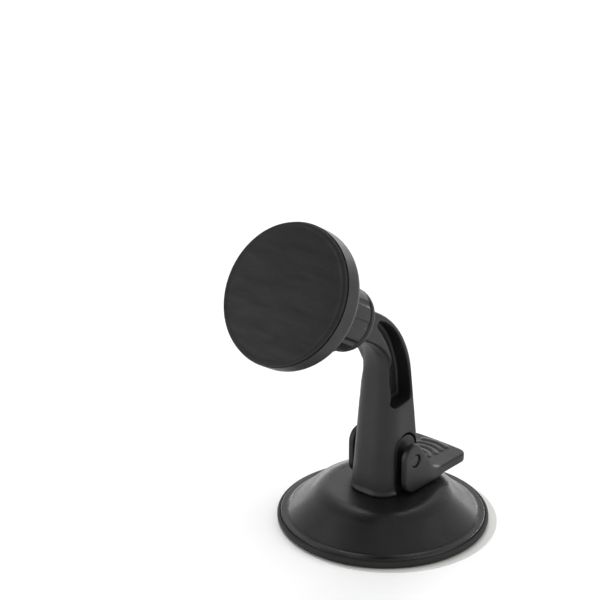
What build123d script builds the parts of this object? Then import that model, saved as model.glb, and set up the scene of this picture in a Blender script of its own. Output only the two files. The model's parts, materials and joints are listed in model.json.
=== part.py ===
from build123d import *
from math import atan2, cos, degrees, radians, sin, sqrt, tan
import os

# Car phone mount: a lever-locked suction foot, a forward-leaning arm, a ball joint and a round magnetic head.
# Millimetres. Origin on the table at the foot's centre, +Z up, -Y towards the phone, lever at +Y.
# Rest pose: the lever is down and the membrane is drawn up.

os.makedirs("parts", exist_ok=True)

# ---------------------------------------------------------------- driving dimensions
# suction foot
foot_radius = 31.8
film_margin = 1.2
film_thickness = 0.35
film_offset_x = 1.0
film_offset_y = 0.85
rim_floor_height = 1.6
rim_wall = 0.95
rim_wall_height = 2.4
rim_contact_width = 4.8
flange_thickness = 1.1
flange_width = 2.25
dome_height = 11.65
dome_slope = 43.2
dome_wall = 2.2
shoulder_radius = 8.0
dome_foot_fillet = 1.5
membrane_rise = 2.6
membrane_thickness = 1.7
rim_round = 0.6
collar_wall = 1.3
collar_seat_drop = 0.3
membrane_apron = 1.0
flange_round = 0.385

# arm
arm_foot_half_width = 7.82
arm_side_draft = 0.03
arm_front_foot_y = -8.85
arm_front_draft = 0.0805
arm_back_foot_y = 8.47
arm_back_draft = 0.1048
arm_front_straight_top = 51.0
arm_back_straight_top = 49.5
throat_radius = 11.5
front_foot_radius = 6.0
front_corner_radius = 5.2
foot_lip_height = 1.05
foot_lip_width = 0.55
back_flange = 1.2
web_thickness = 3.0
pocket_bottom_z = 39.4
pocket_front_inset = 2.3
pocket_corner_radius = 1.5

# head axis, from the arm's neck to the phone
head_tilt = 31.6
neck_y = -11.0
neck_z = 66.9
neck_half_height = 4.9
neck_station = 6.0
flat_drop = 4.1
flat_foot_z = 51.0
flat_foot_inset = 1.7
flat_rear_inset = 4.0
flat_edge_round = 1.1
arm_edge_round = 0.8
bell_start = 1.5
bell_inset = 0.6
collar_chamfer = 0.8

# post, lever and pin
pin_y = 1.6
pin_z = 22.1
pin_radius = 2.0
pin_recess = 0.5
pin_chamfer = 0.33
post_half_width = 7.1
post_centre_y = 1.5
post_half_depth = 4.4
post_top_z = 29.45
post_side_gap = 0.3
post_top_gap = 0.35
hub_radius = 11.2
hub_thickness = 1.5
cheek_outer_x = 11.1
cheek_thickness = 2.0
cheek_lift = 0.45
cheek_front_reach = 4.85
cheek_head_rise = 5.4
cheek_head_radius = 2.8
cheek_brow_radius = 4.2
cheek_flank_y = 2.7
cheek_flank_angle = 54.0
cheek_wave_radius = 6.5
cheek_heel_y = 12.3
cheek_heel_run = 3.5
cheek_overlap = 5.0
cam_corner_radius = 4.4
paddle_tip_y = 27.6
paddle_top_z = 15.5
paddle_thickness = 2.65
paddle_inner_y = 9.6
paddle_corner_radius = 3.2
paddle_tip_bow = 0.4
lever_edge_round = 0.45
ridge_count = 4
ridge_pitch = 2.3
ridge_height = 0.3
ridge_width = 1.2
ridge_half_length = 5.0
ridge_centre_y = 14.2
ridge_first_radius = 4.7

# spring
spring_wire = 0.7
spring_turns = 3.0
spring_mean_radius = 9.7

# screws
arm_screw_x = 4.2
arm_screw_y = -5.6
arm_screw_radius = 1.1
arm_screw_head_radius = 1.7
arm_screw_head_height = 1.3
arm_screw_length = 10.0
tongue_half_width = 4.6
tongue_thickness = 1.4
tongue_inset = 0.7

# ball joint
ball_station = 19.0
ball_radius = 6.5
core_radius = 3.0
spigot_radius = 8.6
spigot_start = 9.4
spigot_end = 17.4
collar_radius = 9.5
collar_start = 7.0
nut_radius = 10.0
nut_start = 10.4
nut_end = 23.8
nut_flutes = 10
nut_flute_depth = 0.55
nut_flute_radius = 1.6
nut_rear_chamfer = 0.6
nut_front_chamfer = 1.2
lip_cover = 0.6
stud_clearance = 0.5
seat_wall = 0.8
seat_front_gap = 1.2
seat_play = 0.03
front_seat_start = 0.4
front_seat_length = 2.85
stud_radius = 3.1
swing_angle = 25.0

# magnetic head
head_radius = 20.5
head_start = 31.0
head_wall = 1.8
head_back_thickness = 2.0
head_back_fillet = 3.0
button_radius = 6.5
button_thickness = 1.9
plate_thickness = 1.0
carrier_thickness = 2.2
magnet_count = 6
magnet_radius = 4.4
magnet_thickness = 2.0
magnet_circle = 11.2
pad_end = 39.9
plate_screw_count = 3
plate_screw_circle = 15.2
plate_screw_radius = 1.0
plate_screw_head_radius = 1.9
plate_screw_length = 4.4
screw_boss_wall = 0.6
pad_inset = 0.3

# fits
fit = 0.05
slip = 0.1
near = 1.0

# ---------------------------------------------------------------- places worked out from them
tilt = radians(head_tilt)
head_axis_dir = Vector(0, -cos(tilt), sin(tilt))
head_up_dir = Vector(0, sin(tilt), cos(tilt))
neck_origin = Vector(0, neck_y, neck_z)
head_axis = Axis(neck_origin, head_axis_dir)
head_section = Plane(origin=neck_origin, x_dir=head_up_dir, z_dir=(1, 0, 0))

film_top = film_thickness
rim_floor_top = film_top + rim_floor_height
rim_top = film_top + rim_wall_height
flange_radius = foot_radius - rim_wall - fit
flange_top = rim_floor_top + flange_thickness
slope = radians(dome_slope)
cone_foot_radius = flange_radius - flange_width
cone_top_radius = cone_foot_radius - (dome_height - flange_top) / tan(slope)
wall_run = dome_wall / sin(slope)
inner_foot_radius = cone_foot_radius - wall_run + (flange_top - rim_floor_top) / tan(slope)
roof_underside = dome_height - dome_wall
inner_roof_radius = inner_foot_radius - (roof_underside - rim_floor_top) / tan(slope)
membrane_under_centre = film_top + membrane_rise
membrane_top_centre = membrane_under_centre + membrane_thickness
hub_bottom = membrane_top_centre + fit
hub_top = hub_bottom + hub_thickness

slot_half_depth = post_half_depth + post_side_gap
slot_spring_z = post_top_z + post_top_gap - slot_half_depth
post_spring_z = post_top_z - post_half_depth


def arm_half_width(z):
    return arm_foot_half_width - arm_side_draft * (z - dome_height)


def arm_front(z):
    return arm_front_foot_y + arm_front_draft * (z - dome_height)


def arm_back(z):
    return arm_back_foot_y - arm_back_draft * (z - dome_height)


def neck_point(station, up):
    """A point of the side view (Y, Z), from its place along the head axis and above it."""
    place = neck_origin + head_axis_dir * station + head_up_dir * up
    return (place.Y, place.Z)


def on_flank(place):
    return abs(place.X) > 0.9 * arm_half_width(neck_z)


def height_over_axis(place):
    return (place - neck_origin).dot(head_up_dir)


def head_plane(station):
    """The plane across the head axis at a station."""
    return Plane(origin=neck_origin + head_axis_dir * station, x_dir=(1, 0, 0), z_dir=head_axis_dir)


# ---------------------------------------------------------------- suction foot
with BuildPart() as protective_film:
    with BuildSketch(Plane.XY):
        with Locations((film_offset_x, film_offset_y)):
            Circle(foot_radius + film_margin)
    extrude(amount=film_thickness)
protective_film.part.label = "protective_film"
export_step(protective_film.part, "parts/protective_film.step")

collar_inner = hub_radius + fit
collar_outer = collar_inner + collar_wall
with BuildPart() as suction_membrane:
    with BuildSketch(Plane.XZ):
        with BuildLine():
            Polyline(
                (0, membrane_under_centre),
                (collar_outer, membrane_under_centre),
                (foot_radius - rim_contact_width, film_top),
                (foot_radius - rim_round, film_top),
                (foot_radius, film_top + 2 * rim_round),
                (foot_radius, rim_top - rim_round),
                (foot_radius - rim_round / 2, rim_top),
                (foot_radius - rim_wall, rim_top),
                (foot_radius - rim_wall, rim_floor_top),
                (inner_foot_radius - membrane_apron, rim_floor_top),
                (collar_outer + collar_seat_drop, membrane_top_centre - collar_seat_drop),
                (collar_outer, hub_bottom + hub_thickness / 2),
                (collar_inner, hub_bottom + hub_thickness / 2),
                (collar_inner, membrane_top_centre),
                (0, membrane_top_centre),
                close=True,
            )
        make_face()
    revolve(axis=Axis.Z)
suction_membrane.part.label = "suction_membrane"
export_step(suction_membrane.part, "parts/suction_membrane.step")

tongue_back = arm_back_foot_y - tongue_inset
tongue_front = tongue_back - tongue_thickness
with BuildPart() as dome_housing:
    with BuildSketch(Plane.XZ) as dome_profile:
        with BuildLine():
            Polyline(
                (0, roof_underside),
                (inner_roof_radius, roof_underside),
                (inner_foot_radius, rim_floor_top),
                (flange_radius, rim_floor_top),
                (flange_radius, flange_top),
                (cone_foot_radius, flange_top),
                (cone_top_radius, dome_height),
                (0, dome_height),
                close=True,
            )
        make_face()
        shoulder = dome_profile.vertices().sort_by_distance((cone_top_radius, dome_height))[0]
        fillet(shoulder, shoulder_radius)
        foot_corner = dome_profile.vertices().sort_by_distance((cone_foot_radius, flange_top))[0]
        fillet(foot_corner, dome_foot_fillet)
        flange_corner = dome_profile.vertices().sort_by_distance((flange_radius, flange_top))[0]
        fillet(flange_corner, flange_round)
        inner_corner = dome_profile.vertices().sort_by_distance((inner_roof_radius, roof_underside))[0]
        fillet(inner_corner, shoulder_radius - dome_wall)
    revolve(axis=Axis.Z)
    with BuildSketch(Plane.XY.offset(dome_height)):
        with Locations((0, post_centre_y)):
            Rectangle(2 * (post_half_width + post_side_gap), 2 * slot_half_depth)
        with Locations((0, (tongue_front + tongue_back) / 2)):
            Rectangle(2 * (tongue_half_width + slip), tongue_thickness + 2 * slip)
        with Locations((arm_screw_x, arm_screw_y), (-arm_screw_x, arm_screw_y)):
            Circle(arm_screw_radius + slip)
    extrude(amount=-2 * dome_wall, mode=Mode.SUBTRACT)
dome_housing.part.label = "dome_housing"
export_step(dome_housing.part, "parts/dome_housing.step")

# ---------------------------------------------------------------- arm
front_top = (arm_front(arm_front_straight_top), arm_front_straight_top)
back_top = (arm_back(arm_back_straight_top), arm_back_straight_top)
front_dir = (arm_front_draft, 1)
back_dir = (-arm_back_draft, 1)


def turned_left(direction):
    length = sqrt(direction[0] ** 2 + direction[1] ** 2)
    return (-direction[1] / length, direction[0] / length)


def arc_step(direction_in, direction_out):
    """The step of a left-hand arc of unit radius that turns one direction into another."""
    start = turned_left(direction_in)
    finish = turned_left(direction_out)
    return (start[0] - finish[0], start[1] - finish[1])


neck_dir = (-cos(tilt), sin(tilt))
back_step = arc_step(back_dir, neck_dir)
back_up = (back_top[0] - neck_y) * sin(tilt) + (back_top[1] - neck_z) * cos(tilt)
back_arc_radius = (neck_half_height - back_up) / (back_step[0] * sin(tilt) + back_step[1] * cos(tilt))
back_arc_end = (back_top[0] + back_arc_radius * back_step[0], back_top[1] + back_arc_radius * back_step[1])
throat_step = arc_step(front_dir, neck_dir)
throat_end = (front_top[0] + throat_radius * throat_step[0], front_top[1] + throat_radius * throat_step[1])
neck_bottom = (throat_end[0] - neck_y) * sin(tilt) + (throat_end[1] - neck_z) * cos(tilt)
neck_turn_back = degrees(atan2(neck_dir[1], neck_dir[0]) - atan2(back_dir[1], back_dir[0]))
neck_turn_front = degrees(atan2(neck_dir[1], neck_dir[0]) - atan2(front_dir[1], front_dir[0]))
arm_tall = neck_z + 2 * neck_half_height

# flat sides of the neck, which spring from the column's flanks
flat_start = (arm_front(flat_foot_z) + flat_foot_inset, flat_foot_z)
flat_start_pull = (flat_start[0] - 0.3, flat_start[1] + 4.5)
flat_end_pull = neck_point(-5.5, 0.2 - flat_drop)
flat_end = neck_point(0, -flat_drop)
flat_rear = (arm_back(flat_foot_z) - flat_rear_inset, flat_foot_z)

# the flanks' lightening pockets
pocket_front_foot = (arm_front(pocket_bottom_z) + pocket_front_inset, pocket_bottom_z)
pocket_front_top = (arm_front(arm_back_straight_top) + pocket_front_inset - 0.4, arm_back_straight_top)
pocket_tip = neck_point(1.2, 1.2)
pocket_back_top = (back_top[0] - back_flange, back_top[1])
pocket_back_end = neck_point(0.9, neck_half_height - back_flange - 0.8)
pocket_front_pull = neck_point(-11.2, -3.8)
pocket_tip_pull = neck_point(-3.6, -0.9)
pocket_end_pull = neck_point(-5, 3.5)
pocket_back_pull = neck_point(-11.5, 2.5)
pocket_back_foot = (arm_back(pocket_bottom_z + 1.2) - back_flange, pocket_bottom_z + 1.2)


with BuildPart() as arm_taper:
    with BuildSketch(Plane.XZ):
        Polygon(
            (-arm_foot_half_width, dome_height),
            (arm_foot_half_width, dome_height),
            (arm_half_width(arm_tall), arm_tall),
            (-arm_half_width(arm_tall), arm_tall),
            align=None,
        )
    extrude(amount=arm_tall, both=True)

with BuildPart() as arm_body:
    with BuildSketch(Plane.YZ):
        with BuildLine():
            Line((arm_front_foot_y, dome_height), front_top)
            JernArc(front_top, front_dir, throat_radius, neck_turn_front)
            Line(throat_end, neck_point(neck_station, neck_bottom))
            Line(neck_point(neck_station, neck_bottom), neck_point(neck_station, neck_half_height))
            Line(neck_point(neck_station, neck_half_height), back_arc_end)
            JernArc(back_top, back_dir, back_arc_radius, neck_turn_back)
            Line(back_top, (arm_back_foot_y, dome_height))
            Line((arm_back_foot_y, dome_height), (arm_front_foot_y, dome_height))
        make_face()
    extrude(amount=2 * arm_foot_half_width, both=True)
    add(arm_taper.part, mode=Mode.INTERSECT)
    front_edges = arm_body.edges().filter_by(
        lambda e: on_flank(e @ 0.5)
        and (e @ 0.5).Y < arm_front((e @ 0.5).Z) + near
        and dome_height + near < (e @ 0.5).Z < neck_z - near
    )
    fillet(front_edges, front_corner_radius)

with BuildPart() as neck_flats:
    with BuildSketch(Plane.YZ):
        with BuildLine():
            Line(flat_rear, flat_start)
            Bezier(flat_start, flat_start_pull, flat_end_pull, flat_end)
            Line(flat_end, neck_point(neck_station, -flat_drop))
            Line(neck_point(neck_station, -flat_drop), neck_point(neck_station, neck_half_height))
            Line(neck_point(neck_station, neck_half_height), back_arc_end)
            JernArc(back_top, back_dir, back_arc_radius, neck_turn_back)
            Line(back_top, flat_rear)
        make_face()
    extrude(amount=2 * arm_foot_half_width, both=True)
    add(arm_taper.part, mode=Mode.INTERSECT)
    lower_edges = neck_flats.edges().filter_by(
        lambda e: on_flank(e @ 0.5)
        and height_over_axis(e @ 0.5) < near - flat_drop
        and (e @ 0.5).Z > flat_foot_z + near
    )
    fillet(lower_edges, flat_edge_round)

arm_depth = arm_back_foot_y - arm_front_foot_y
seat_outer = ball_radius + seat_play + seat_wall
seat_floor = ball_station - ball_radius - seat_wall
with BuildPart() as arm_column:
    add(arm_body.part)
    add(neck_flats.part)
    # softened rear edges
    rear_edges = arm_column.edges().filter_by(
        lambda e: on_flank(e @ 0.5)
        and (
            ((e @ 0.5).Z > dome_height + near and (e @ 0.5).Y > arm_back((e @ 0.5).Z) - 4 * near)
            or height_over_axis(e @ 0.5) > neck_half_height - slip
        )
    )
    fillet(rear_edges, arm_edge_round)
    # foot lip around the front of the column
    with BuildSketch(Plane.XY.offset(dome_height)) as foot_lip:
        with Locations((0, arm_front_foot_y + (arm_depth - foot_lip_width) / 2)):
            Rectangle(2 * (arm_foot_half_width + foot_lip_width), arm_depth + foot_lip_width)
        fillet(foot_lip.vertices().group_by(Axis.Y)[0], front_foot_radius + foot_lip_width)
    extrude(amount=foot_lip_height)
    # rear tongue that drops into the dome's roof
    with BuildSketch(Plane.XY.offset(dome_height)):
        with Locations((0, (tongue_front + tongue_back) / 2)):
            Rectangle(2 * tongue_half_width, tongue_thickness)
    extrude(amount=-dome_wall)
    # bell, collar and threaded spigot around the head axis
    with BuildSketch(head_section):
        Polygon(
            (0, bell_start),
            (neck_half_height - bell_inset, bell_start),
            (collar_radius - collar_chamfer, collar_start),
            (collar_radius, collar_start + collar_chamfer),
            (collar_radius, spigot_start),
            (spigot_radius, spigot_start),
            (spigot_radius, spigot_end),
            (0, spigot_end),
            align=None,
        )
    revolve(axis=head_axis)
    # bore for the rear ball seat
    with BuildSketch(head_plane(spigot_end)):
        Circle(seat_outer + fit)
    extrude(amount=seat_floor - fit - spigot_end, mode=Mode.SUBTRACT)
    # slot through both flanks for the post
    with BuildSketch(Plane.YZ):
        with Locations((post_centre_y, (dome_height + slot_spring_z) / 2)):
            Rectangle(2 * slot_half_depth, slot_spring_z - dome_height)
        with Locations((post_centre_y, slot_spring_z)):
            Circle(slot_half_depth)
    extrude(amount=2 * arm_foot_half_width, both=True, mode=Mode.SUBTRACT)
    # pilot holes for the two screws
    with BuildSketch(Plane.XY.offset(dome_height)):
        with Locations((arm_screw_x, arm_screw_y), (-arm_screw_x, arm_screw_y)):
            Circle(arm_screw_radius + fit)
    extrude(amount=arm_screw_length - dome_wall + slip, mode=Mode.SUBTRACT)
    # pockets in both flanks, leaving the web
    for side in (1, -1):
        with BuildSketch(Plane.YZ.offset(side * web_thickness / 2)) as pocket:
            with BuildLine():
                Line(pocket_back_foot, pocket_front_foot)
                Line(pocket_front_foot, pocket_front_top)
                Bezier(pocket_front_top, pocket_front_pull, pocket_tip_pull, pocket_tip)
                Line(pocket_tip, pocket_back_end)
                Bezier(pocket_back_end, pocket_end_pull, pocket_back_pull, pocket_back_top)
                Line(pocket_back_top, pocket_back_foot)
            make_face()
            fillet(pocket.vertices().sort_by_distance(pocket_front_foot)[0], pocket_corner_radius)
            fillet(pocket.vertices().sort_by_distance(pocket_back_foot)[0], pocket_corner_radius)
            fillet(pocket.vertices().sort_by_distance(pocket_tip)[0], pocket_corner_radius / 2)
            fillet(pocket.vertices().sort_by_distance(pocket_back_end)[0], pocket_corner_radius / 2)
        extrude(amount=side * arm_foot_half_width, mode=Mode.SUBTRACT)
arm_column.part.label = "arm_column"
export_step(arm_column.part, "parts/arm_column.step")

with BuildPart() as arm_screws:
    with BuildSketch(Plane.XY.offset(roof_underside)):
        with Locations((arm_screw_x, arm_screw_y), (-arm_screw_x, arm_screw_y)):
            Circle(arm_screw_head_radius)
    extrude(amount=-arm_screw_head_height)
    with BuildSketch(Plane.XY.offset(roof_underside)):
        with Locations((arm_screw_x, arm_screw_y), (-arm_screw_x, arm_screw_y)):
            Circle(arm_screw_radius)
    extrude(amount=arm_screw_length)
arm_screws.part.label = "arm_screws"
export_step(arm_screws.part, "parts/arm_screws.step")

# ---------------------------------------------------------------- post, spring, lever and pin
with BuildPart() as pull_post:
    with BuildSketch(Plane.XY.offset(hub_bottom)):
        Circle(hub_radius)
    extrude(amount=hub_thickness)
    with BuildSketch(Plane.YZ):
        with Locations((post_centre_y, (hub_bottom + post_spring_z) / 2)):
            Rectangle(2 * post_half_depth, post_spring_z - hub_bottom)
        with Locations((post_centre_y, post_spring_z)):
            Circle(post_half_depth)
    extrude(amount=post_half_width, both=True)
    with BuildSketch(Plane.YZ):
        with Locations((pin_y, pin_z)):
            Circle(pin_radius + fit)
    extrude(amount=2 * post_half_width, both=True, mode=Mode.SUBTRACT)
pull_post.part.label = "pull_post"
export_step(pull_post.part, "parts/pull_post.step")

spring_low = hub_top + fit + spring_wire / 2
spring_high = roof_underside - fit - spring_wire / 2
with BuildPart() as return_spring:
    with BuildLine():
        coil = Helix(
            pitch=(spring_high - spring_low) / spring_turns,
            height=spring_high - spring_low,
            radius=spring_mean_radius,
            center=(0, 0, spring_low),
        )
    with BuildSketch(Plane(origin=coil @ 0, z_dir=coil % 0)):
        Circle(spring_wire / 2)
    sweep(is_frenet=True)
return_spring.part.label = "return_spring"
export_step(return_spring.part, "parts/return_spring.step")

cheek_bottom = dome_height + cheek_lift
cheek_front = pin_y - cheek_front_reach
cheek_top = pin_z + cheek_head_rise
flank_run = (cheek_top - paddle_top_z) / tan(radians(cheek_flank_angle))
paddle_bottom = paddle_top_z - paddle_thickness
cheek_inner_x = cheek_outer_x - cheek_thickness
cheek_tail_y = cheek_flank_y + flank_run + cheek_overlap
with BuildPart() as cam_lever:
    for side in (1, -1):
        with BuildSketch(Plane.YZ.offset(side * cheek_inner_x)) as cheek:
            Polygon(
                (cheek_front, cheek_bottom),
                (cheek_front, cheek_top),
                (cheek_flank_y, cheek_top),
                (cheek_flank_y + flank_run, paddle_top_z),
                (cheek_tail_y, paddle_top_z),
                (cheek_tail_y, paddle_bottom),
                (cheek_heel_y + cheek_heel_run, paddle_bottom),
                (cheek_heel_y, cheek_bottom),
                align=None,
            )
            fillet(cheek.vertices().sort_by_distance((cheek_front, cheek_bottom))[0], cam_corner_radius)
            fillet(cheek.vertices().sort_by_distance((cheek_front, cheek_top))[0], cheek_brow_radius)
            fillet(cheek.vertices().sort_by_distance((cheek_flank_y, cheek_top))[0], cheek_head_radius)
            wave_corner = cheek.vertices().sort_by_distance((cheek_flank_y + flank_run, paddle_top_z))[0]
            fillet(wave_corner, cheek_wave_radius)
        extrude(amount=side * cheek_thickness)
    with BuildSketch(Plane.XY.offset(paddle_bottom)) as paddle:
        with BuildLine():
            Line((-cheek_outer_x, paddle_inner_y), (cheek_outer_x, paddle_inner_y))
            Line((cheek_outer_x, paddle_inner_y), (cheek_outer_x, paddle_tip_y - paddle_tip_bow))
            ThreePointArc(
                (cheek_outer_x, paddle_tip_y - paddle_tip_bow),
                (0, paddle_tip_y),
                (-cheek_outer_x, paddle_tip_y - paddle_tip_bow),
            )
            Line((-cheek_outer_x, paddle_tip_y - paddle_tip_bow), (-cheek_outer_x, paddle_inner_y))
        make_face()
        fillet(paddle.vertices().group_by(Axis.Y)[-1], paddle_corner_radius)
    extrude(amount=paddle_thickness)
    outer_faces = cam_lever.faces().filter_by(Axis.X).group_by(Axis.X)
    fillet(outer_faces[0].edges() + outer_faces[-1].edges(), lever_edge_round)
    with BuildSketch(Plane.XY.offset(paddle_top_z)):
        for ridge in range(ridge_count):
            ridge_radius = ridge_first_radius + ridge * ridge_pitch
            ridge_angle = degrees(ridge_half_length / ridge_radius)
            with BuildLine():
                CenterArc((0, ridge_centre_y), ridge_radius, 90 - ridge_angle, 2 * ridge_angle)
            trace(line_width=ridge_width)
    extrude(amount=ridge_height)
    with BuildSketch(Plane.YZ):
        with Locations((pin_y, pin_z)):
            Circle(pin_radius + fit / 2)
    extrude(amount=2 * cheek_outer_x, both=True, mode=Mode.SUBTRACT)
cam_lever.part.label = "cam_lever"
export_step(cam_lever.part, "parts/cam_lever.step")

with BuildPart() as lever_pin:
    with BuildSketch(Plane.YZ):
        with Locations((pin_y, pin_z)):
            Circle(pin_radius)
    extrude(amount=cheek_outer_x - pin_recess, both=True)
    chamfer(lever_pin.edges().filter_by(GeomType.CIRCLE), pin_chamfer)
lever_pin.part.label = "lever_pin"
export_step(lever_pin.part, "parts/lever_pin.step")

# ---------------------------------------------------------------- ball joint
ball_centre = neck_origin + head_axis_dir * ball_station
with BuildPart() as rear_ball_seat:
    with BuildSketch(head_plane(seat_floor)):
        Circle(seat_outer)
    extrude(amount=ball_station - seat_front_gap - seat_floor)
    with Locations(ball_centre):
        Sphere(ball_radius + seat_play, mode=Mode.SUBTRACT)
rear_ball_seat.part.label = "rear_ball_seat"
export_step(rear_ball_seat.part, "parts/rear_ball_seat.step")

front_seat_end = ball_station + front_seat_start + front_seat_length
with BuildPart() as front_ball_seat:
    with BuildSketch(head_plane(ball_station + front_seat_start)):
        Circle(spigot_radius)
    extrude(amount=front_seat_length)
    with Locations(ball_centre):
        Sphere(ball_radius + seat_play, mode=Mode.SUBTRACT)
front_ball_seat.part.label = "front_ball_seat"
export_step(front_ball_seat.part, "parts/front_ball_seat.step")

swing = radians(swing_angle)
lip_rear_radius = ball_radius - lip_cover
lip_front_radius = (nut_end - ball_station) * tan(swing) + stud_radius / cos(swing) + stud_clearance
with BuildPart() as lock_nut:
    with BuildSketch(head_section):
        Polygon(
            (spigot_radius + fit, nut_start),
            (nut_radius - nut_rear_chamfer, nut_start),
            (nut_radius, nut_start + nut_rear_chamfer),
            (nut_radius, nut_end - nut_front_chamfer),
            (nut_radius - nut_front_chamfer, nut_end),
            (lip_front_radius, nut_end),
            (lip_rear_radius, front_seat_end + fit),
            (spigot_radius + fit, front_seat_end + fit),
            align=None,
        )
    revolve(axis=head_axis)
    with BuildSketch(head_plane(nut_start)):
        with PolarLocations(nut_radius + nut_flute_radius - nut_flute_depth, nut_flutes):
            Circle(nut_flute_radius)
    extrude(amount=nut_end - nut_start, mode=Mode.SUBTRACT)
lock_nut.part.label = "lock_nut"
export_step(lock_nut.part, "parts/lock_nut.step")

with BuildPart() as ball_core:
    with Locations(ball_centre):
        Sphere(core_radius)
ball_core.part.label = "ball_core"
export_step(ball_core.part, "parts/ball_core.step")

button_start = head_start + head_back_thickness + fit
with BuildPart() as ball_stud:
    with Locations(ball_centre):
        Sphere(ball_radius)
    with BuildSketch(head_plane(ball_station)):
        Circle(stud_radius)
    extrude(amount=button_start + button_thickness - ball_station)
    with BuildSketch(head_plane(button_start)):
        Circle(button_radius)
    extrude(amount=button_thickness)
    with Locations(ball_centre):
        Sphere(core_radius + fit, mode=Mode.SUBTRACT)
ball_stud.part.label = "ball_stud"
export_step(ball_stud.part, "parts/ball_stud.step")

# ---------------------------------------------------------------- magnetic head
plate_station = button_start + button_thickness + 2 * slip
carrier_station = plate_station + plate_thickness
carrier_end = carrier_station + carrier_thickness
cavity_radius = head_radius - head_wall
boss_radius = plate_screw_head_radius + screw_boss_wall
with BuildPart() as head_shell:
    with BuildSketch(head_plane(head_start)):
        Circle(head_radius)
    extrude(amount=carrier_end - head_start)
    back_rim = head_shell.edges().filter_by(GeomType.CIRCLE).sort_by(head_axis)[0]
    fillet(back_rim, head_back_fillet)
    with BuildSketch(head_plane(head_start + head_back_thickness)):
        Circle(cavity_radius)
    extrude(amount=carrier_end - head_start, mode=Mode.SUBTRACT)
    with BuildSketch(head_plane(head_start + head_back_thickness)):
        with PolarLocations(plate_screw_circle, plate_screw_count, start_angle=90):
            Circle(boss_radius)
    extrude(amount=plate_station - head_start - head_back_thickness)
    with BuildSketch(head_plane(head_start)):
        Circle(stud_radius + fit)
    extrude(amount=head_back_thickness, mode=Mode.SUBTRACT)
    with BuildSketch(head_plane(plate_station)):
        with PolarLocations(plate_screw_circle, plate_screw_count, start_angle=90):
            Circle(plate_screw_radius + fit)
    extrude(amount=-(plate_screw_length - plate_thickness + slip), mode=Mode.SUBTRACT)
head_shell.part.label = "head_shell"
export_step(head_shell.part, "parts/head_shell.step")

with BuildPart() as backing_plate:
    with BuildSketch(head_plane(plate_station)):
        Circle(cavity_radius - slip)
        with PolarLocations(plate_screw_circle, plate_screw_count, start_angle=90):
            Circle(plate_screw_radius + slip, mode=Mode.SUBTRACT)
    extrude(amount=plate_thickness)
backing_plate.part.label = "backing_plate"
export_step(backing_plate.part, "parts/backing_plate.step")

with BuildPart() as plate_screws:
    with BuildSketch(head_plane(carrier_station)):
        with PolarLocations(plate_screw_circle, plate_screw_count, start_angle=90):
            Circle(plate_screw_head_radius)
    extrude(amount=plate_screw_head_radius / 2)
    with BuildSketch(head_plane(carrier_station)):
        with PolarLocations(plate_screw_circle, plate_screw_count, start_angle=90):
            Circle(plate_screw_radius)
    extrude(amount=-plate_screw_length)
plate_screws.part.label = "plate_screws"
export_step(plate_screws.part, "parts/plate_screws.step")

with BuildPart() as magnet_carrier:
    with BuildSketch(head_plane(carrier_station)):
        Circle(cavity_radius - slip)
        with PolarLocations(magnet_circle, magnet_count):
            Circle(magnet_radius + fit, mode=Mode.SUBTRACT)
        with PolarLocations(plate_screw_circle, plate_screw_count, start_angle=90):
            Circle(plate_screw_head_radius + slip, mode=Mode.SUBTRACT)
    extrude(amount=carrier_thickness)
magnet_carrier.part.label = "magnet_carrier"
export_step(magnet_carrier.part, "parts/magnet_carrier.step")

with BuildPart() as magnets:
    with BuildSketch(head_plane(carrier_station)):
        with PolarLocations(magnet_circle, magnet_count):
            Circle(magnet_radius)
    extrude(amount=magnet_thickness)
magnets.part.label = "magnets"
export_step(magnets.part, "parts/magnets.step")

with BuildPart() as front_pad:
    with BuildSketch(head_plane(carrier_end)):
        Circle(head_radius - pad_inset)
    extrude(amount=pad_end - carrier_end)
    front_rim = front_pad.edges().filter_by(GeomType.CIRCLE).sort_by(head_axis)[-1]
    fillet(front_rim, (pad_end - carrier_end) / 2)
front_pad.part.label = "front_pad"
export_step(front_pad.part, "parts/front_pad.step")
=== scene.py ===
import json
from math import pi, radians, sin

import bmesh
import bpy
from bpy.props import FloatProperty, FloatVectorProperty, IntProperty, PointerProperty
from bpy.types import Operator, Panel, PropertyGroup
from mathutils import Matrix, Vector


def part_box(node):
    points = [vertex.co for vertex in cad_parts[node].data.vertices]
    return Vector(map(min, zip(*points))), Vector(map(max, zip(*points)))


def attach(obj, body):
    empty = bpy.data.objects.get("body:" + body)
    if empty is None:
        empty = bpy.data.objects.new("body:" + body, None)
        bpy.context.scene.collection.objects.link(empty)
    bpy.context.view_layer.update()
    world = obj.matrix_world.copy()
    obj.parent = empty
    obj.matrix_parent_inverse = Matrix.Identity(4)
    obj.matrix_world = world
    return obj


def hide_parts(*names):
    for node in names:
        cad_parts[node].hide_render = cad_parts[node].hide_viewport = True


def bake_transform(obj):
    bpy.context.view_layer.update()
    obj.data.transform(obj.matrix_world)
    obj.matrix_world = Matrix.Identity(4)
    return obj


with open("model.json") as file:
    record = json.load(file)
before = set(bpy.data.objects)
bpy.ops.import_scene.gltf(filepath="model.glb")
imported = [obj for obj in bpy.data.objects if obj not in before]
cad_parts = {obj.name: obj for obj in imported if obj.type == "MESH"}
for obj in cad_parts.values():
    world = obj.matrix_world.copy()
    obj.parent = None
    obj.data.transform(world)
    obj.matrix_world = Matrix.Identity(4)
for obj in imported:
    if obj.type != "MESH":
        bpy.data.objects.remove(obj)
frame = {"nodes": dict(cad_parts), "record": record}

bl_info = {
    "name": "Car phone mount finisher",
    "version": (1, 0, 0),
    "blender": (4, 5, 0),
    "location": "3D View > Sidebar > Phone mount",
    "description": "Builds the soft pieces, finishes and studio of a suction phone mount on its packed frame",
    "category": "Object",
}

MM = 0.001
RIM_PIECES = 192
MERGE = 0.002 * MM
FLOOR_GAP = 0.02 * MM

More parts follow.
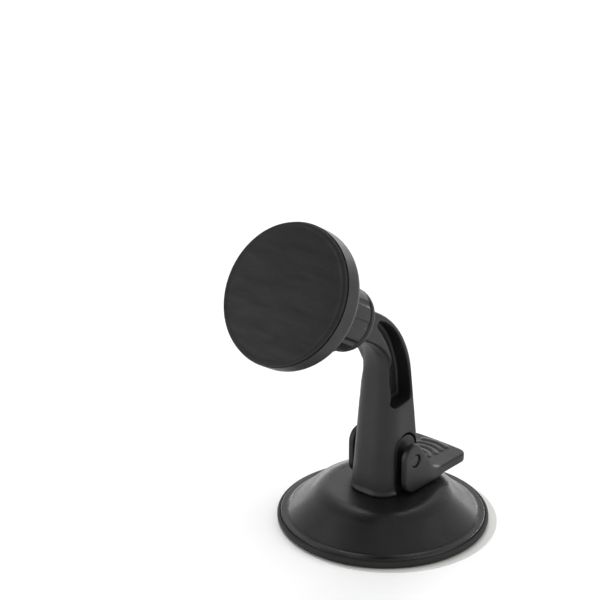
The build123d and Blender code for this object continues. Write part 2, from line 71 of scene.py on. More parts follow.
# widths in mm of the rings of faces that the film's margin is cut into, from the rim inwards
FILM_RINGS = (0.12, 0.2, 0.3, 0.5, 0.7, 0.9, 1.2, 1.6)

# sockets of a colour Mix node, which carries several of the same name
MIX_FACTOR, MIX_FIRST, MIX_SECOND = 0, 6, 7
MIX_RESULT = 2

# the surroundings darken from the horizon to the zenith between these heights of the direction looked in
FADE_START, FADE_STOP = 0.15, 0.85

# name, place, width and height, the setting that holds its power, whether glossy surfaces mirror it
SOFTBOXES = (
    ("paper_softbox", (0.0, 0.0, 1.15), (1.2, 1.2), "paper_power", False),
    ("edge_softbox", (-0.3, 0.37, 0.8), (0.35, 0.35), "edge_power", True),
    ("side_softbox", (0.8, 0.35, 0.35), (0.4, 0.6), "side_power", True),
    ("left_softbox", (-0.52, -0.7, 0.35), (0.4, 0.6), "side_power", True),
    ("back_softbox", (-1.0, 1.25, 0.24), (2.4, 0.36), "back_power", True),
)
SOFTBOX_AIM = Vector((0, 0, 0.04))

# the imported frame's own places
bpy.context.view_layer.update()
film_low, film_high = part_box("protective_film")
cup_low, cup_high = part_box("suction_membrane")
spring_low, spring_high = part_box("return_spring")
phone_face = next(m for m in frame["record"]["mounts"] if m["name"] == "phone_face")
face_centre = Vector(phone_face["pos_m"])
face_axis = Vector(phone_face["axis"]).normalized()


def span_along(node, origin, axis):
    """The lowest and highest reach of a CAD node along an axis through a point, and its widest radius."""
    reach = [v.co - origin for v in frame["nodes"][node].data.vertices]
    stations = [r.dot(axis) for r in reach]
    radius = max((r - axis * r.dot(axis)).length for r in reach)
    return min(stations), max(stations), radius


pad_back, pad_front, pad_radius = span_along("front_pad", face_centre, face_axis)


# ---------------------------------------------------------------- settings
class FilmSettings(PropertyGroup):
    thickness: FloatProperty(
        name="Thickness",
        description="Thickness of the peel-off film",
        default=0.28 * MM,
        unit="LENGTH",
    )
    ripple: FloatProperty(
        name="Ripple",
        description="How far the free margin lifts and dips",
        default=0.03 * MM,
        unit="LENGTH",
    )
    ripples: IntProperty(name="Ripples", description="Waves round the free margin", default=7)


class CupSettings(PropertyGroup):
    contact_width: FloatProperty(
        name="Contact width",
        description="Flat ring that grips the surface",
        default=4.8 * MM,
        unit="LENGTH",
    )
    wall: FloatProperty(
        name="Wall",
        description="Wall that stands round the dome's flange",
        default=0.95 * MM,
        unit="LENGTH",
    )
    wall_height: FloatProperty(
        name="Wall height",
        description="Height of the rim over the film",
        default=2.4 * MM,
        unit="LENGTH",
    )
    floor_height: FloatProperty(
        name="Floor height",
        description="Thickness of the rim under the flange",
        default=1.6 * MM,
        unit="LENGTH",
    )
    web_thickness: FloatProperty(
        name="Web thickness",
        description="Thickness of the flexing cone",
        default=1.45 * MM,
        unit="LENGTH",
    )
    web_rise: FloatProperty(
        name="Web rise",
        description="How far the locked lever draws the middle up",
        default=2.6 * MM,
        unit="LENGTH",
    )
    hub_radius: FloatProperty(
        name="Hub radius",
        description="Radius of the post's hub in the middle",
        default=11.25 * MM,
        unit="LENGTH",
    )
    collar: FloatProperty(
        name="Collar",
        description="Wall of the collar round the hub",
        default=1.3 * MM,
        unit="LENGTH",
    )
    rounding: FloatProperty(
        name="Rounding",
        description="Softness of the moulded edges",
        default=0.3 * MM,
        unit="LENGTH",
    )


class SpringSettings(PropertyGroup):
    wire: FloatProperty(
        name="Wire", description="Diameter of the spring wire", default=0.7 * MM, unit="LENGTH"
    )
    radius: FloatProperty(
        name="Radius", description="Mean radius of the coil", default=9.7 * MM, unit="LENGTH"
    )
    turns: IntProperty(name="Turns", description="Turns of the coil", default=3)


class PadSettings(PropertyGroup):
    crown: FloatProperty(
        name="Crown", description="Softness of the pad's rim", default=0.75 * MM, unit="LENGTH"
    )
    groove_radius: FloatProperty(
        name="Groove radius",
        description="Radius of the parting groove near the rim",
        default=18.6 * MM,
        unit="LENGTH",
    )
    groove_depth: FloatProperty(
        name="Groove depth",
        description="Depth of the parting groove",
        default=0.12 * MM,
        unit="LENGTH",
    )


class MouldSettings(PropertyGroup):
    arm_voxel: FloatProperty(
        name="Arm grain",
        description="Size of the arm's faces",
        default=0.28 * MM,
        unit="LENGTH",
        precision=5,
    )
    lever_voxel: FloatProperty(
        name="Lever grain",
        description="Size of the lever's faces",
        default=0.22 * MM,
        unit="LENGTH",
        precision=5,
    )
    post_voxel: FloatProperty(
        name="Post grain",
        description="Size of the post's faces",
        default=0.26 * MM,
        unit="LENGTH",
        precision=5,
    )
    arm_passes: IntProperty(
        name="Arm softening", description="Smoothing passes over the arm's edges", default=20
    )
    passes: IntProperty(
        name="Softening", description="Smoothing passes over the lever's and post's edges", default=7
    )
    ledge_low: FloatProperty(
        name="Ledge low",
        description="Where the fade at the foot of the neck's flats begins",
        default=46 * MM,
        unit="LENGTH",
    )
    ledge_high: FloatProperty(
        name="Ledge high",
        description="Where the fade at the foot of the neck's flats ends",
        default=56.5 * MM,
        unit="LENGTH",
    )
    ledge_behind: FloatProperty(
        name="Ledge depth",
        description="How far back the fade reaches, along Y",
        default=-2.4 * MM,
        unit="LENGTH",
    )
    ledge_passes: IntProperty(
        name="Ledge passes", description="Smoothing passes in the middle of the fade", default=70
    )


class FinishSettings(PropertyGroup):
    plastic: FloatVectorProperty(
        name="Moulded plastic",
        description="Colour of the black mouldings",
        subtype="COLOR",
        default=(0.0078, 0.0075, 0.0074),
    )
    plastic_roughness: FloatProperty(
        name="Plastic roughness",
        description="Roughness of the black mouldings",
        default=0.43,
        subtype="FACTOR",
    )
    rubber: FloatVectorProperty(
        name="Cup rubber",
        description="Colour of the suction cup",
        subtype="COLOR",
        default=(0.0085, 0.0075, 0.0072),
    )
    film: FloatVectorProperty(
        name="Film",
        description="Colour of the peel-off film",
        subtype="COLOR",
        default=(0.62, 0.62, 0.6),
    )
    steel: FloatVectorProperty(
        name="Steel",
        description="Colour of the plated steel",
        subtype="COLOR",
        default=(0.52, 0.52, 0.5),
    )
    nickel: FloatVectorProperty(
        name="Nickel",
        description="Colour of the magnets' plating",
        subtype="COLOR",
        default=(0.62, 0.6, 0.55),
    )
    acetal: FloatVectorProperty(
        name="Seats",
        description="Colour of the ball's seats",
        subtype="COLOR",
        default=(0.66, 0.64, 0.57),
    )


class StudioSettings(PropertyGroup):
    floor_size: FloatProperty(name="Floor size", description="Side of the floor", default=8.0, unit="LENGTH")
    paper_power: FloatProperty(
        name="Paper light",
        description="Power of the overhead light that whitens the floor",
        default=7.5,
        unit="POWER",
    )
    edge_power: FloatProperty(
        name="Edge light",
        description="Power of the small light behind that draws the edges",
        default=1.0,
        unit="POWER",
    )
    side_power: FloatProperty(
        name="Side lights",
        description="Power of the broad light at each side",
        default=1.6,
        unit="POWER",
    )
    back_power: FloatProperty(
        name="Back light",
        description="Power of the low panel behind, which the dome's flanks mirror",
        default=7.0,
        unit="POWER",
    )
    horizon: FloatProperty(
        name="Horizon", description="Brightness of the surroundings at floor height", default=1.0
    )
    zenith: FloatProperty(name="Zenith", description="Brightness of the surroundings overhead", default=0.42)
    eye: FloatVectorProperty(
        name="Eye",
        description="Place of the camera",
        subtype="XYZ",
        unit="LENGTH",
        default=(0.354269, -0.442238, 0.313168),
    )
    eye_tilt: FloatProperty(
        name="Tilt",
        description="Tilt of the camera from straight down",
        subtype="ANGLE",
        default=radians(66.8678),
    )
    eye_turn: FloatProperty(
        name="Turn",
        description="Turn of the camera round the upright",
        subtype="ANGLE",
        default=radians(41.2196),
    )
    lens: FloatProperty(name="Lens", description="Focal length", subtype="DISTANCE_CAMERA", default=127.889)


# ---------------------------------------------------------------- mesh helpers
def finished_object(name, shape, smooth_under=radians(38)):
    """Makes an object at the origin from a bmesh, with smooth faces and crisp edges past an angle."""
    mesh = bpy.data.meshes.new(name)
    shape.to_mesh(mesh)
    shape.free()
    mesh.shade_smooth()
    mesh.set_sharp_from_angle(angle=smooth_under)
    made = bpy.data.objects.new(name, mesh)
    bpy.context.scene.collection.objects.link(made)
    return made


def spun_ring(profile, steps=RIM_PIECES):
    """A bmesh turned round +Z from a closed profile of (radius, height) points."""
    shape = bmesh.new()
    corners = [shape.verts.new((radius, 0, height)) for radius, height in profile]
    edges = [shape.edges.new((a, b)) for a, b in zip(corners, corners[1:] + corners[:1])]
    bmesh.ops.spin(
        shape,
        geom=corners + edges,
        cent=(0, 0, 0),
        axis=(0, 0, 1),
        angle=2 * pi,
        steps=steps,
        use_merge=True,
        use_duplicate=False,
    )
    bmesh.ops.remove_doubles(shape, verts=shape.verts[:], dist=MERGE)
    bmesh.ops.recalc_face_normals(shape, faces=shape.faces[:])
    return shape


def soften_sharp(shape, width, over=radians(30), segments=3):
    """Rounds every edge of a bmesh that is sharper than an angle."""
    sharp = [e for e in shape.edges if e.is_manifold and e.calc_face_angle() > over]
    bmesh.ops.bevel(
        shape,
        geom=sharp,
        offset=width,
        offset_type="OFFSET",
        segments=segments,
        profile=0.5,
        affect="EDGES",
        clamp_overlap=True,
        material=-1,
    )
    bmesh.ops.recalc_face_normals(shape, faces=shape.faces[:])
    return shape


def stand_on_axis(shape, origin, axis):
    """Turns a bmesh made along +Z so that it stands at a point along an axis."""
    turn = Vector((0, 0, 1)).rotation_difference(axis).to_matrix().to_4x4()
    bmesh.ops.transform(shape, matrix=Matrix.Translation(origin) @ turn, verts=shape.verts[:])


def softened_copy(name, node, voxel, passes):
    """A copy of a CAD node, remade in even faces and smoothed, so that its edges look moulded."""
    shape = bmesh.new()
    shape.from_mesh(frame["nodes"][node].data)
    bmesh.ops.remove_doubles(shape, verts=shape.verts[:], dist=MERGE)
    rough = finished_object(name + "_rough", shape)
    remesh = rough.modifiers.new("Even faces", "REMESH")
    remesh.mode = "VOXEL"
    remesh.voxel_size = voxel
    remesh.use_smooth_shade = True
    smooth = rough.modifiers.new("Soft edges", "SMOOTH")
    smooth.factor = 0.5
    smooth.iterations = passes
    bpy.context.view_layer.update()
    evaluated = rough.evaluated_get(bpy.context.evaluated_depsgraph_get())
    mesh = bpy.data.meshes.new_from_object(evaluated)
    mesh.name = name
    mesh.materials.clear()
    bpy.data.objects.remove(rough)
    made = bpy.data.objects.new(name, mesh)
    bpy.context.scene.collection.objects.link(made)
    mesh.shade_smooth()
    if not mesh.polygons:
        raise RuntimeError(f"{node} could not be remade in even faces")
    return made


def fade_ledge(piece, low, high, behind, passes):
    """Smooths a piece's front between two heights, most in the middle, so that a ledge there fades out."""
    shape = bmesh.new()
    shape.from_mesh(piece.data)
    middle = (low + high) / 2
    for step in range(passes):
        reach = (high - low) / 2 * (1 - step / passes)
        band = [v for v in shape.verts if abs(v.co.z - middle) < reach and v.co.y < behind]
        bmesh.ops.smooth_vert(
            shape,
            verts=band,
            factor=0.5,
            use_axis_x=True,
            use_axis_y=True,
            use_axis_z=True,
        )
    shape.to_mesh(piece.data)
    shape.free()
    piece.data.shade_smooth()


# ---------------------------------------------------------------- material helpers
class Finish:
    """A Principled material whose pattern nodes read Object coordinates."""

    def __init__(self, name):
        self.material = bpy.data.materials.new(name)
        self.material.use_nodes = True
        self.tree = self.material.node_tree
        self.tree.nodes.clear()
        output = self.node("ShaderNodeOutputMaterial", 900)
        self.shader = self.node("ShaderNodeBsdfPrincipled", 600)
        self.link(self.shader, "BSDF", output, "Surface")
        self.place = self.node("ShaderNodeTexCoord", -900)

    def node(self, kind, x=0):
        made = self.tree.nodes.new(kind)
        made.location = (x, -220 * len(self.tree.nodes))
        return made

    def link(self, source, output, target, socket):
        self.tree.links.new(source.outputs[output], target.inputs[socket])

    def set(self, **values):
        """Sets the shader's own sockets, such as Metallic or Coat_Weight."""
        for name, value in values.items():
            self.shader.inputs[name.replace("_", " ")].default_value = value

    def noise(self, scale, detail=3.0, roughness=0.55, stretch=(1, 1, 1), distortion=0.0):
        """Noise with features of about 1/scale metres, stretched along the axes."""
        mapping = self.node("ShaderNodeMapping", -700)
        mapping.inputs["Scale"].default_value = stretch
        self.link(self.place, "Object", mapping, "Vector")
        texture = self.node("ShaderNodeTexNoise", -500)
        texture.inputs["Scale"].default_value = scale
        texture.inputs["Detail"].default_value = detail
        texture.inputs["Roughness"].default_value = roughness
        texture.inputs["Distortion"].default_value = distortion
        self.link(mapping, "Vector", texture, "Vector")
        return texture

    def cells(self, scale):
        """Rounded cells for pebbled or crystalline grain."""
        texture = self.node("ShaderNodeTexVoronoi", -500)
        texture.feature = "SMOOTH_F1"
        texture.inputs["Scale"].default_value = scale
        texture.inputs["Smoothness"].default_value = 0.6
        self.link(self.place, "Object", texture, "Vector")
        return texture

    def ranged(self, source, output, low, high, start=0.3, stop=0.7):
        """A value between low and high, from a texture's output."""
        reach = self.node("ShaderNodeMapRange", -250)
        reach.inputs["From Min"].default_value = start
        reach.inputs["From Max"].default_value = stop
        reach.inputs["To Min"].default_value = low
        reach.inputs["To Max"].default_value = high
        self.link(source, output, reach, "Value")
        return reach

    def mixed(self, factor, output, first, second):
        """A colour between two, by a value."""
        mix = self.node("ShaderNodeMix", 150)
        mix.data_type = "RGBA"
        for socket, colour in ((MIX_FIRST, first), (MIX_SECOND, second)):
            if isinstance(colour, bpy.types.Node):
                self.link(colour, MIX_RESULT, mix, socket)
            else:
                mix.inputs[socket].default_value = (*colour, 1)
        self.link(factor, output, mix, MIX_FACTOR)
        return mix

    def blended(self, texture, first, second, start=0.3, stop=0.7, most=1.0):
        """A colour that goes from one to another with a noise texture's value."""
        return self.mixed(self.ranged(texture, "Fac", 0, most, start, stop), "Result", first, second)

    def colour(self, mix):
        self.link(mix, MIX_RESULT, self.shader, "Base Color")

    def roughness(self, reach):
        self.link(reach, "Result", self.shader, "Roughness")

    def bumps(self, *layers):
        """Stacks (texture, output, strength, distance in metres) layers into the normal."""
        last = None
        for texture, output, strength, distance in layers:
            bump = self.node("ShaderNodeBump", 350)
            bump.inputs["Strength"].default_value = strength
            bump.inputs["Distance"].default_value = distance
            self.link(texture, output, bump, "Height")
            if last:
                self.link(last, "Normal", bump, "Normal")
            last = bump
        self.link(last, "Normal", self.shader, "Normal")


def shade(colour, factor):
    return tuple(min(1.0, c * factor) for c in colour)


def moulded_finish(name, colour, roughness, grain=1.0):
    """Spark-textured black plastic: fine pebbling, faint flow clouds, light scuffs and handling shine."""
    finish = Finish(name)
    pebble = finish.cells(3600)
    fine = finish.noise(5200, 2)
    flow = finish.noise(70, 3, 0.5, (1, 1, 0.35), 0.6)
    handled = finish.noise(140, 4, 0.6)
    scuff = finish.noise(420, 6, 0.7, (1, 3.5, 0.5), 1.4)
    base = finish.blended(flow, shade(colour, 0.86), shade(colour, 1.18))
    finish.colour(finish.blended(scuff, base, shade(colour, 2.6), 0.64, 0.78, 0.35))
    finish.roughness(finish.ranged(handled, "Fac", roughness - 0.06, roughness + 0.09))
    finish.set(IOR=1.43)
    finish.bumps(
        (flow, "Fac", 0.1, 0.00012),
        (pebble, "Distance", 0.16 * grain, 0.00006),
        (fine, "Fac", 0.12 * grain, 0.00003),
    )
    return finish.material


def rubber_finish(name, colour, roughness, dust=2.3):
    """Soft rubber or elastomer: silky, with a faint bloom, fine pores and a little dust."""
    finish = Finish(name)
    bloom = finish.noise(55, 4, 0.6, (1, 1, 2.5), 0.8)
    pores = finish.noise(4200, 3)
    specks = finish.noise(900, 2, 0.4)
    wipe = finish.noise(160, 5, 0.65, (0.5, 0.5, 3), 0.4)
    base = finish.blended(bloom, shade(colour, 0.82), shade(colour, 1.25))
    finish.colour(finish.blended(specks, base, shade(colour, dust), 0.66, 0.76, 0.4))
    finish.roughness(finish.ranged(wipe, "Fac", roughness - 0.08, roughness + 0.1))
    finish.set(IOR=1.48, Specular_IOR_Level=0.35)
    finish.bumps((wipe, "Fac", 0.1, 0.0001), (pores, "Fac", 0.18, 0.00004))
    return finish.material


def film_finish(name, colour):
    """Thin milky peel-off film: faint clouds, soft creases, light rubbing and a little trapped dust."""
    finish = Finish(name)
    cloud = finish.noise(60, 3, 0.5)
    crease = finish.noise(40, 1, 0.3, (1, 1, 1), 0.4)
    dust = finish.noise(1500, 2, 0.5)
    rubbed = finish.noise(500, 3, 0.6)
    base = finish.blended(cloud, shade(colour, 0.96), shade(colour, 1.04))
    finish.colour(finish.blended(dust, base, shade(colour, 0.8), 0.7, 0.82, 0.3))
    finish.roughness(finish.ranged(rubbed, "Fac", 0.32, 0.46))
    finish.set(IOR=1.49)
    finish.bumps((crease, "Fac", 0.08, 0.0001), (rubbed, "Fac", 0.04, 0.00001))
    return finish.material


def metal_finish(name, colour, roughness, brushed=(1, 1, 1), metallic=1.0):
    """Plated or blackened metal: drawn or tumbled marks, mottled plating and small nicks."""
    finish = Finish(name)
    marks = finish.noise(2600, 4, 0.6, brushed)
    mottle = finish.noise(260, 4, 0.6)
    nicks = finish.cells(700)
    dents = finish.ranged(nicks, "Distance", 0.35, 0.0, 0.03, 0.12)
    base = finish.blended(mottle, shade(colour, 0.84), shade(colour, 1.1))
    finish.colour(finish.mixed(dents, "Result", base, shade(colour, 0.62)))
    finish.roughness(finish.ranged(mottle, "Fac", roughness - 0.05, roughness + 0.1))
    finish.set(Metallic=metallic)
    finish.bumps((marks, "Fac", 0.12, 0.00003), (nicks, "Distance", 0.05, 0.00003))
    return finish.material


def polished_finish(name, colour):
    """Polished bearing plastic: glossy, with hair scratches from turning and a trace of grease."""
    finish = Finish(name)
    hairs = finish.noise(1800, 5, 0.7, (0.15, 1, 0.6), 0.2)
    grease = finish.noise(120, 3, 0.5, (1, 1, 1), 0.7)
    base = finish.blended(grease, shade(colour, 0.85), shade(colour, 1.4))
    finish.colour(finish.blended(hairs, base, shade(colour, 3.0), 0.66, 0.8, 0.4))
    finish.roughness(finish.ranged(grease, "Fac", 0.12, 0.27))
    finish.set(IOR=1.5)
    finish.bumps((hairs, "Fac", 0.06, 0.00002), (grease, "Fac", 0.05, 0.00005))
    return finish.material


def acetal_finish(name, colour):
    """Natural acetal of the ball's seats: waxy, slightly yellowed, with turned rings and grease stains."""
    finish = Finish(name)
    stain = finish.noise(180, 4, 0.6, (1, 1, 1), 0.5)
    grain = finish.noise(3800, 2)
    finish.colour(finish.blended(stain, colour, shade(colour, 0.82)))
    finish.roughness(finish.ranged(stain, "Fac", 0.34, 0.5))
    finish.set(Subsurface_Weight=0.08, Subsurface_Scale=0.001)
    finish.bumps((grain, "Fac", 0.1, 0.00003), (stain, "Fac", 0.05, 0.00006))
    return finish.material


def floor_finish(name):
    """Pale matt studio paper with the faintest fibre."""
    finish = Finish(name)
    fibre = finish.noise(900, 3, 0.6, (1, 0.4, 1))
    tone = finish.noise(3, 2, 0.4)
    finish.colour(finish.blended(tone, (0.9, 0.9, 0.9), (0.93, 0.93, 0.93)))
    finish.roughness(finish.ranged(fibre, "Fac", 0.75, 0.9))
    finish.set(Specular_IOR_Level=0.2)
    finish.bumps((fibre, "Fac", 0.03, 0.00002))
    return finish.material


def wear(piece, material):
    """Gives a piece one material."""
    piece.data.materials.clear()
    piece.data.materials.append(material)


# ---------------------------------------------------------------- operators
class MOUNT_OT_kept_finishes(Operator):
    """Makes every finish and gives the kept CAD nodes theirs"""

    bl_idname = "mount.kept_finishes"
    bl_label = "Finishes"

    def execute(self, context):
        looks = context.scene.mount_finishes
        moulded_finish("Moulded black", looks.plastic, looks.plastic_roughness)
        satin = moulded_finish("Dome satin", looks.plastic, looks.plastic_roughness - 0.14, 0.6)
        moulded_finish("Post black", shade(looks.plastic, 0.8), looks.plastic_roughness + 0.03)
        moulded_finish("Nut black", shade(looks.plastic, 0.9), looks.plastic_roughness - 0.04, 1.3)
        rubber_finish("Cup rubber", looks.rubber, 0.58)
        rubber_finish("Grip rubber", shade(looks.rubber, 0.75), 0.62, 3.0)
        film_finish("Peel film", looks.film)
        steel = metal_finish("Zinc steel", looks.steel, 0.3, (1, 1, 0.2))
        spring = metal_finish("Spring steel", shade(looks.steel, 0.85), 0.26, (0.3, 0.3, 1))
        dark = metal_finish("Blackened pin", shade(looks.plastic, 1.1), 0.4, (0.15, 1, 1), 0.0)
        nickel = metal_finish("Magnet nickel", looks.nickel, 0.2)
        acetal = acetal_finish("Natural acetal", looks.acetal)
        polished = polished_finish("Polished ball", shade(looks.plastic, 0.7))
        kept = {
            "dome_housing": satin,
            "arm_screws": steel,
            "lever_pin": dark,
            "rear_ball_seat": acetal,
            "front_ball_seat": acetal,
            "lock_nut": bpy.data.materials["Nut black"],
            "ball_core": steel,
            "ball_stud": polished,
            "head_shell": bpy.data.materials["Moulded black"],
            "backing_plate": steel,
            "plate_screws": spring,
            "magnet_carrier": bpy.data.materials["Post black"],
            "magnets": nickel,
        }
        for node, material in kept.items():
            wear(frame["nodes"][node], material)
        return {"FINISHED"}


class MOUNT_OT_peel_film(Operator):
    """Builds the peel-off film under the cup, with its free margin rippling on the floor"""

    bl_idname = "mount.peel_film"
    bl_label = "Peel-off film"

    def execute(self, context):
        sizes = context.scene.mount_film
        centre = (film_low + film_high) / 2
        radius = (film_high.x - film_low.x) / 2
        held = (cup_high.x - cup_low.x) / 2
        shape = bmesh.new()
        bmesh.ops.create_circle(shape, cap_ends=True, radius=radius, segments=RIM_PIECES)
        for width in FILM_RINGS:
            bmesh.ops.inset_region(shape, faces=shape.faces[-1:], thickness=width * MM, use_even_offset=True)
            shape.faces.ensure_lookup_table()
        bmesh.ops.translate(shape, vec=(centre.x, centre.y, film_low.z + FLOOR_GAP), verts=shape.verts[:])
        free = (film_high.z - film_low.z) - sizes.thickness
        for vert in shape.verts:
            flat = Vector((vert.co.x, vert.co.y))
            off_cup = (flat.length - held) / (radius - held)
            if off_cup > 0:
                angle = Vector((1, 0)).angle_signed(flat, 0)
                wave = 1 + sin(sizes.ripples * angle + 0.8 * sin(2 * angle))
                vert.co.z += min(off_cup, 1) * min(free, sizes.ripple) * 0.5 * wave
        # every face is turned up first, so that the thickness goes up from the floor
        shape.normal_update()
        bmesh.ops.reverse_faces(shape, faces=[f for f in shape.faces if f.normal.z < 0])
        bmesh.ops.solidify(shape, geom=shape.faces[:], thickness=-sizes.thickness)
        bmesh.ops.recalc_face_normals(shape, faces=shape.faces[:])
        film = finished_object("peel_film", shape)
        wear(film, bpy.data.materials["Peel film"])
        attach(film, "base")
        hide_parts("protective_film")
        return {"FINISHED"}


class MOUNT_OT_suction_cup(Operator):
    """Builds the soft suction cup: the gripping rim on the base, and the web round the post's hub"""

    bl_idname = "mount.suction_cup"
    bl_label = "Suction cup"

    def execute(self, context):
        sizes = context.scene.mount_cup
        rubber = bpy.data.materials["Cup rubber"]
        radius = (cup_high.x - cup_low.x) / 2
        low = cup_low.z
        top = low + sizes.wall_height
        ledge = low + sizes.floor_height
        lip = sizes.wall
        inner = radius - sizes.contact_width
        hinge = inner - 1.2 * MM
        hinge_height = 0.32 * MM
        rim_profile = [
            (inner, low),
            (radius - 0.75 * lip, low),
            (radius - 0.2 * lip, low + 0.45 * MM),
            (radius, low + 1.1 * MM),
            (radius, low + 1.75 * MM),
            (radius - 0.12 * lip, top - 0.25 * MM),
            (radius - 0.45 * lip, top),
            (radius - lip, top - 0.1 * MM),
            (radius - lip, ledge),
            (hinge, ledge),
            (hinge, low + hinge_height),
        ]
        rim_shape = soften_sharp(spun_ring(rim_profile), 0.5 * sizes.rounding)
        rim = finished_object("cup_rim", rim_shape, radians(45))
        wear(rim, rubber)
        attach(rim, "base")
        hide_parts("suction_membrane")

        seat = low + sizes.web_rise
        outer_collar = sizes.hub_radius + sizes.collar
        web = inner - 0.4 * MM
        web_foot = low + 0.2 * MM
        thick = sizes.web_thickness
        hub_floor = seat + 1.7 * MM
        web_profile = [
            (0, seat),
            (outer_collar, seat),
            (web, web_foot),
            (web, web_foot + thick),
            (outer_collar + 0.6 * MM, seat + thick),
            (outer_collar, cup_high.z),
            (sizes.hub_radius, cup_high.z),
            (sizes.hub_radius, hub_floor),
            (0, hub_floor),
        ]
        web_shape = spun_ring(web_profile)
        slanted = [e for e in web_shape.edges if abs(e.verts[0].co.z - e.verts[1].co.z) > 0.2 * MM]
        bmesh.ops.subdivide_edges(web_shape, edges=slanted, cuts=6, use_grid_fill=True)
        web_piece = finished_object("cup_web", soften_sharp(web_shape, sizes.rounding, radians(35), 2))
        wear(web_piece, rubber)
        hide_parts("suction_membrane")
        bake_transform(web_piece)
        return {"FINISHED"}


class MOUNT_OT_return_spring(Operator):
    """Builds the coil spring between the dome's roof and the post's hub"""

    bl_idname = "mount.return_spring"
    bl_label = "Return spring"

    def execute(self, context):
        sizes = context.scene.mount_spring
        steps_per_turn = 72
        low = spring_low.z + sizes.wire / 2
        rise = spring_high.z - spring_low.z - sizes.wire
        steps = steps_per_turn * sizes.turns
        shape = bmesh.new()
        bmesh.ops.create_circle(
            shape,
            cap_ends=True,
            radius=sizes.wire / 2,
            segments=12,
            matrix=Matrix.Translation((sizes.radius, 0, low)) @ Matrix.Rotation(pi / 2, 4, "X"),
        )
        bmesh.ops.spin(
            shape,
            geom=shape.verts[:] + shape.edges[:] + shape.faces[:],
            cent=(0, 0, 0),
            axis=(0, 0, 1),
            dvec=(0, 0, rise / steps),
            angle=2 * pi * sizes.turns,
            steps=steps,
            use_merge=False,
            use_duplicate=False,
        )
        bmesh.ops.recalc_face_normals(shape, faces=shape.faces[:])
        spring = finished_object("coil_spring", shape, radians(60))
        wear(spring, bpy.data.materials["Spring steel"])
        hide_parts("return_spring")
        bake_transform(spring)
        return {"FINISHED"}


class MOUNT_OT_grip_face(Operator):
    """Builds the rubber face that the phone rests on, with its soft rim and parting groove"""

    bl_idname = "mount.grip_face"
    bl_label = "Grip face"

    def execute(self, context):
        sizes = context.scene.mount_pad
        thick = pad_front - pad_back
        groove = sizes.groove_radius
        half = 0.35 * MM
        close = 0.02 * MM
        profile = [
            (0, 0),
            (pad_radius, 0),
            (pad_radius, thick),
            (groove + half, thick),
            (groove, thick - sizes.groove_depth),
            (groove - half, thick),
            (0, thick),
        ]
        shape = spun_ring(profile)
        corner = {
            v for v in shape.verts if abs(v.co.xy.length - pad_radius) < close and abs(v.co.z - thick) < close
        }
        rim = [e for e in shape.edges if corner.issuperset(e.verts)]
        bmesh.ops.bevel(
            shape,
            geom=rim,
            offset=sizes.crown,
            offset_type="OFFSET",
            segments=6,
            profile=0.5,
            affect="EDGES",
            clamp_overlap=True,
            material=-1,
        )
        bmesh.ops.recalc_face_normals(shape, faces=shape.faces[:])
        stand_on_axis(shape, face_centre + face_axis * pad_back, face_axis)
        pad = finished_object("grip_face", shape)
        wear(pad, bpy.data.materials["Grip rubber"])
        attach(pad, "head")
        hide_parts("front_pad")
        return {"FINISHED"}


class MOUNT_OT_soft_mouldings(Operator):
    """Remakes the arm, the lever and the post with the softened edges of real mouldings"""

    bl_idname = "mount.soft_mouldings"
    bl_label = "Soft mouldings"

    def execute(self, context):
        sizes = context.scene.mount_mould
        arm = softened_copy("arm_moulding", "arm_column", sizes.arm_voxel, sizes.arm_passes)
        fade_ledge(arm, sizes.ledge_low, sizes.ledge_high, sizes.ledge_behind, sizes.ledge_passes)
        lever = softened_copy("lever_moulding", "cam_lever", sizes.lever_voxel, sizes.passes)
        post = softened_copy("post_moulding", "pull_post", sizes.post_voxel, sizes.passes)
        mouldings = (
            (arm, "arm_column", "base", "Moulded black", "moulded_black"),
            (lever, "cam_lever", "lever", "Moulded black", "moulded_black"),
            (post, "pull_post", "post", "Post black", "post_black"),
        )
        for piece, node, body, material, slot in mouldings:
            wear(piece, bpy.data.materials[material])
            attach(piece, body)
            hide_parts(node)
        return {"FINISHED"}


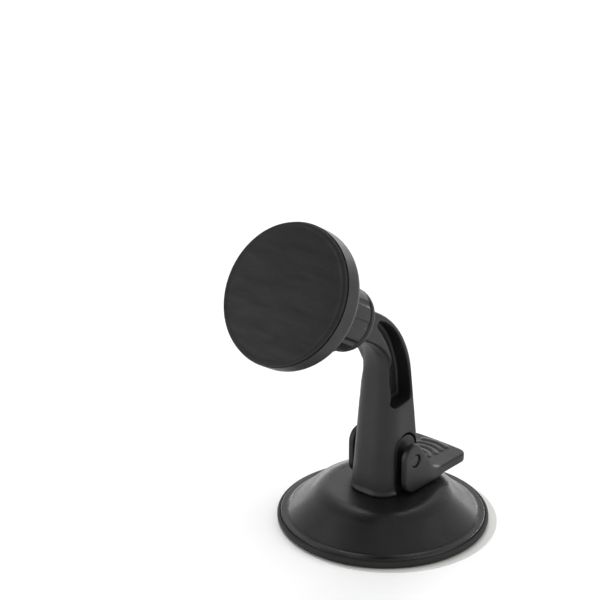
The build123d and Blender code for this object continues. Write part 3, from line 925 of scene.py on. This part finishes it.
class MOUNT_OT_studio(Operator):
    """Sets the pale floor, the soft lights, the surroundings and the camera"""

    bl_idname = "mount.studio"
    bl_label = "Studio"

    def execute(self, context):
        sizes = context.scene.mount_studio
        shape = bmesh.new()
        bmesh.ops.create_grid(shape, x_segments=1, y_segments=1, size=sizes.floor_size / 2)
        floor = finished_object("studio_floor", shape)
        wear(floor, floor_finish("Studio paper"))

        world = bpy.data.worlds.new("Pale surroundings")
        world.use_nodes = True
        nodes = world.node_tree.nodes
        links = world.node_tree.links
        direction = nodes.new("ShaderNodeTexCoord")
        split = nodes.new("ShaderNodeSeparateXYZ")
        fade = nodes.new("ShaderNodeMapRange")
        fade.inputs["From Min"].default_value = FADE_START
        fade.inputs["From Max"].default_value = FADE_STOP
        fade.inputs["To Min"].default_value = sizes.horizon
        fade.inputs["To Max"].default_value = sizes.zenith
        links.new(direction.outputs["Object"], split.inputs["Vector"])
        links.new(split.outputs["Z"], fade.inputs["Value"])
        links.new(fade.outputs["Result"], nodes["Background"].inputs["Strength"])
        nodes["Background"].inputs["Color"].default_value = (1, 1, 1, 1)
        context.scene.world = world
        context.scene.view_settings.view_transform = "Standard"

        for name, place, (wide, tall), power, mirrored in SOFTBOXES:
            light = bpy.data.lights.new(name, "AREA")
            light.shape = "RECTANGLE"
            light.size = wide
            light.size_y = tall
            light.energy = getattr(sizes, power)
            lamp = bpy.data.objects.new(name, light)
            lamp.location = place
            lamp.visible_glossy = mirrored
            lamp.rotation_euler = (SOFTBOX_AIM - Vector(place)).to_track_quat("-Z", "Y").to_euler()
            context.scene.collection.objects.link(lamp)

        lens = bpy.data.cameras.new("studio_camera")
        lens.lens = sizes.lens
        lens.sensor_width = 36
        lens.clip_start = 0.01
        eye = bpy.data.objects.new("studio_camera", lens)
        eye.location = sizes.eye
        eye.rotation_euler = (sizes.eye_tilt, 0, sizes.eye_turn)
        context.scene.collection.objects.link(eye)
        context.scene.camera = eye
        return {"FINISHED"}


class MOUNT_PT_panel(Panel):
    """Lists the sizes, colours and steps of the phone mount"""

    bl_idname = "MOUNT_PT_panel"
    bl_label = "Phone mount"
    bl_space_type = "VIEW_3D"
    bl_region_type = "UI"
    bl_category = "Phone mount"

    def draw(self, context):
        for group, _ in SETTINGS:
            box = self.layout.box()
            settings = getattr(context.scene, group)
            for name in settings.bl_rna.properties.keys():
                if name not in {"rna_type", "name"}:
                    box.prop(settings, name)
        for step in STEPS:
            self.layout.operator(step.bl_idname)


SETTINGS = (
    ("mount_finishes", FinishSettings),
    ("mount_film", FilmSettings),
    ("mount_cup", CupSettings),
    ("mount_spring", SpringSettings),
    ("mount_pad", PadSettings),
    ("mount_mould", MouldSettings),
    ("mount_studio", StudioSettings),
)
STEPS = (
    MOUNT_OT_kept_finishes,
    MOUNT_OT_peel_film,
    MOUNT_OT_suction_cup,
    MOUNT_OT_return_spring,
    MOUNT_OT_grip_face,
    MOUNT_OT_soft_mouldings,
    MOUNT_OT_studio,
)


def register():
    for name, group in SETTINGS:
        bpy.utils.register_class(group)
        setattr(bpy.types.Scene, name, PointerProperty(type=group))
    for step in STEPS:
        bpy.utils.register_class(step)
    bpy.utils.register_class(MOUNT_PT_panel)


def unregister():
    bpy.utils.unregister_class(MOUNT_PT_panel)
    for step in reversed(STEPS):
        bpy.utils.unregister_class(step)
    for name, group in reversed(SETTINGS):
        delattr(bpy.types.Scene, name)
        bpy.utils.unregister_class(group)


def main():
    register()
    for step in STEPS:
        area, action = step.bl_idname.split(".")
        getattr(getattr(bpy.ops, area), action)()


if __name__ == "__main__":
    main()
